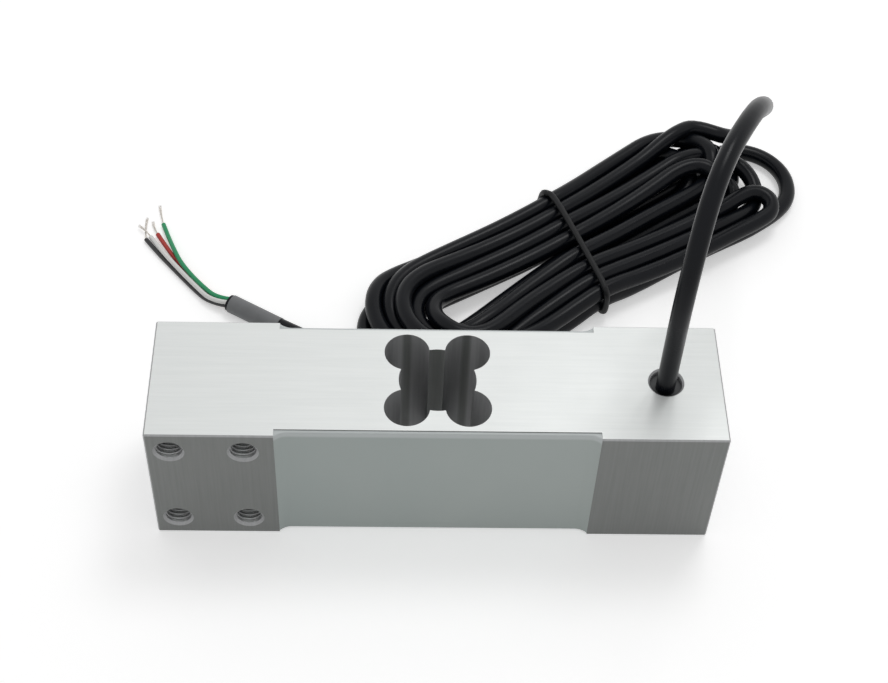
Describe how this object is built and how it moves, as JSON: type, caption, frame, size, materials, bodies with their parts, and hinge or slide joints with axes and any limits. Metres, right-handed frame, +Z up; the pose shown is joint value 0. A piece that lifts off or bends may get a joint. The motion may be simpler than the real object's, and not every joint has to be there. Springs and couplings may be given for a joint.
{
  "type": "single point load cell",
  "caption": "Single point load cell: aluminium block with a four-lobed cutout, sealed gauge recesses, threaded mounting holes and a coiled black signal cable with stripped ends.",
  "frame": {"origin": "middle of the lower face of the block, on the plane that the block and the cable rest on (the cable nodes are left out of this box)", "axes": "+X along the block towards the cable end, +Y from the front gauged face to the rear one, +Z up, along the through cutout"},
  "size_m": [0.2104, 0.1586, 0.1124],
  "materials": {
    "aluminium": "satin",
    "sealant": "satin",
    "gauge_foil": "glossy",
    "strip_laminate": "satin",
    "board_laminate": "satin",
    "resistor_body": "satin",
    "fine_wire": "glossy",
    "potting": "satin",
    "cable_jacket": "satin",
    "tie_rubber": "matte",
    "sleeve_plastic": "satin",
    "core_green": "glossy",
    "core_red": "glossy",
    "core_white": "glossy",
    "core_black": "glossy",
    "tinned_copper": "satin"
  },
  "bodies": {
    "root": {"sensing_body": "aluminium", "gauge_seal_front": "sealant", "gauge_seal_rear": "sealant", "strain_gauge_front_left": "gauge_foil", "strain_gauge_front_right": "gauge_foil", "strain_gauge_rear_left": "gauge_foil", "strain_gauge_rear_right": "gauge_foil", "terminal_strip_front": "strip_laminate", "terminal_strip_rear": "strip_laminate", "jumper_wires_front": "fine_wire", "jumper_wires_rear": "fine_wire", "compensation_board": "board_laminate", "zero_balance_resistor": "resistor_body", "span_resistor": "resistor_body", "drift_resistor": "resistor_body", "crossover_wires": "fine_wire", "bore_potting": "potting", "signal_cable_hank": "cable_jacket", "signal_cable_riser": "cable_jacket", "signal_cable_tail": "cable_jacket", "hank_tie": "tie_rubber", "end_sleeve": "sleeve_plastic", "core_green": "core_green", "core_red": "core_red", "core_white": "core_white", "core_black": "core_black", "inner_lead_green": "core_green", "inner_lead_red": "core_red", "inner_lead_white": "core_white", "inner_lead_black": "core_black", "bare_tip_green": "tinned_copper", "bare_tip_red": "tinned_copper", "bare_tip_white": "tinned_copper", "bare_tip_black": "tinned_copper"}
  },
  "joints": []
}
